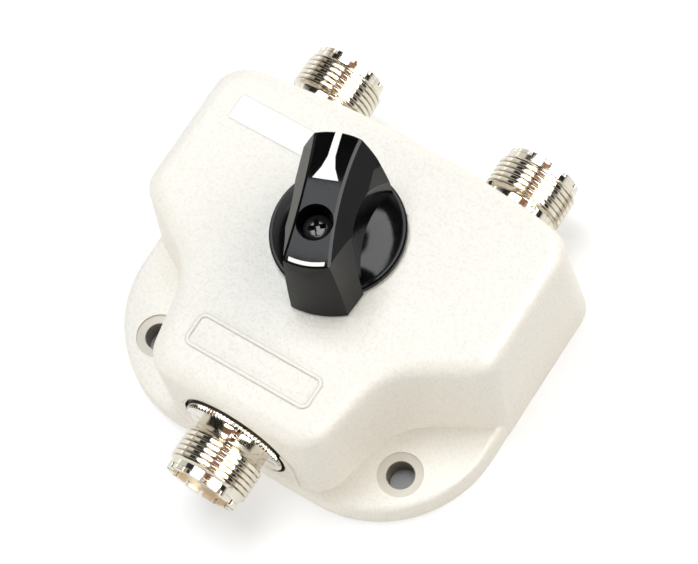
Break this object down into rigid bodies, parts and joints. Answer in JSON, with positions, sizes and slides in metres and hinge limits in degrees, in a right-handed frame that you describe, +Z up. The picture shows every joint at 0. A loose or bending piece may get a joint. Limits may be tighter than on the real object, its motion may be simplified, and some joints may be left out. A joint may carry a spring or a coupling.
{
  "type": "coaxial antenna switch",
  "caption": "Two-way coaxial antenna switch: cast housing with bayed sides, low mounting ears, threaded coaxial sockets and a turning pointer knob.",
  "frame": {"origin": "on the mounting face, on the axis of the selector shaft", "axes": "+Z up out of the mounting face along the selector shaft, +Y to the rear wall with the two switched sockets, +X to the right seen from the common socket's side"},
  "size_m": [0.0786, 0.084, 0.0472],
  "materials": {
    "housing_paint": "fine pebbled off-white paint",
    "cover_paint": "smooth off-white paint",
    "screw_steel": "zinc plated",
    "label_film": "bare printed-label stock",
    "spring_bronze": "phosphor bronze",
    "turned_brass": "turned",
    "spring_steel": "hardened",
    "rotor_laminate": "phenolic laminate",
    "knob_black": "polished",
    "inlay_white": "paint filled",
    "screw_black": "black oxide",
    "connector_nickel": "nickel plated brass",
    "insulator_white": "PTFE",
    "contact_silver": "silver plated brass"
  },
  "bodies": {
    "switch_body": {"housing": "housing_paint", "back_cover": "cover_paint", "cover_screws": "screw_steel", "label_plate": "label_film", "common_leaf": "spring_bronze", "port_1_leaf": "spring_bronze", "port_2_leaf": "spring_bronze", "port_1_ground_finger": "spring_bronze", "port_2_ground_finger": "spring_bronze", "shaft_bush": "turned_brass", "wave_washer": "spring_steel", "detent_ball": "spring_steel", "detent_spring": "spring_steel", "common_shell": "connector_nickel", "common_insulator": "insulator_white", "common_contact": "contact_silver", "port_1_shell": "connector_nickel", "port_1_insulator": "insulator_white", "port_1_contact": "contact_silver", "port_2_shell": "connector_nickel", "port_2_insulator": "insulator_white", "port_2_contact": "contact_silver"},
    "selector": {"shaft": "turned_brass", "shaft_ring": "spring_steel", "detent_plate": "spring_steel", "rotor": "rotor_laminate", "rotor_bridge": "spring_bronze", "rotor_rivets": "turned_brass", "rotor_ring": "spring_steel", "knob": "knob_black", "pointer_arrow": "inlay_white", "tail_line": "inlay_white", "knob_hub": "turned_brass", "knob_screw": "screw_black"}
  },
  "joints": [
    {"name": "selector_turn", "type": "hinge", "parent": "switch_body", "child": "selector", "pos_m": [0, 0, 0.0284], "axis": [0, 0, 1], "range_deg": [-40, 0]}
  ]
}
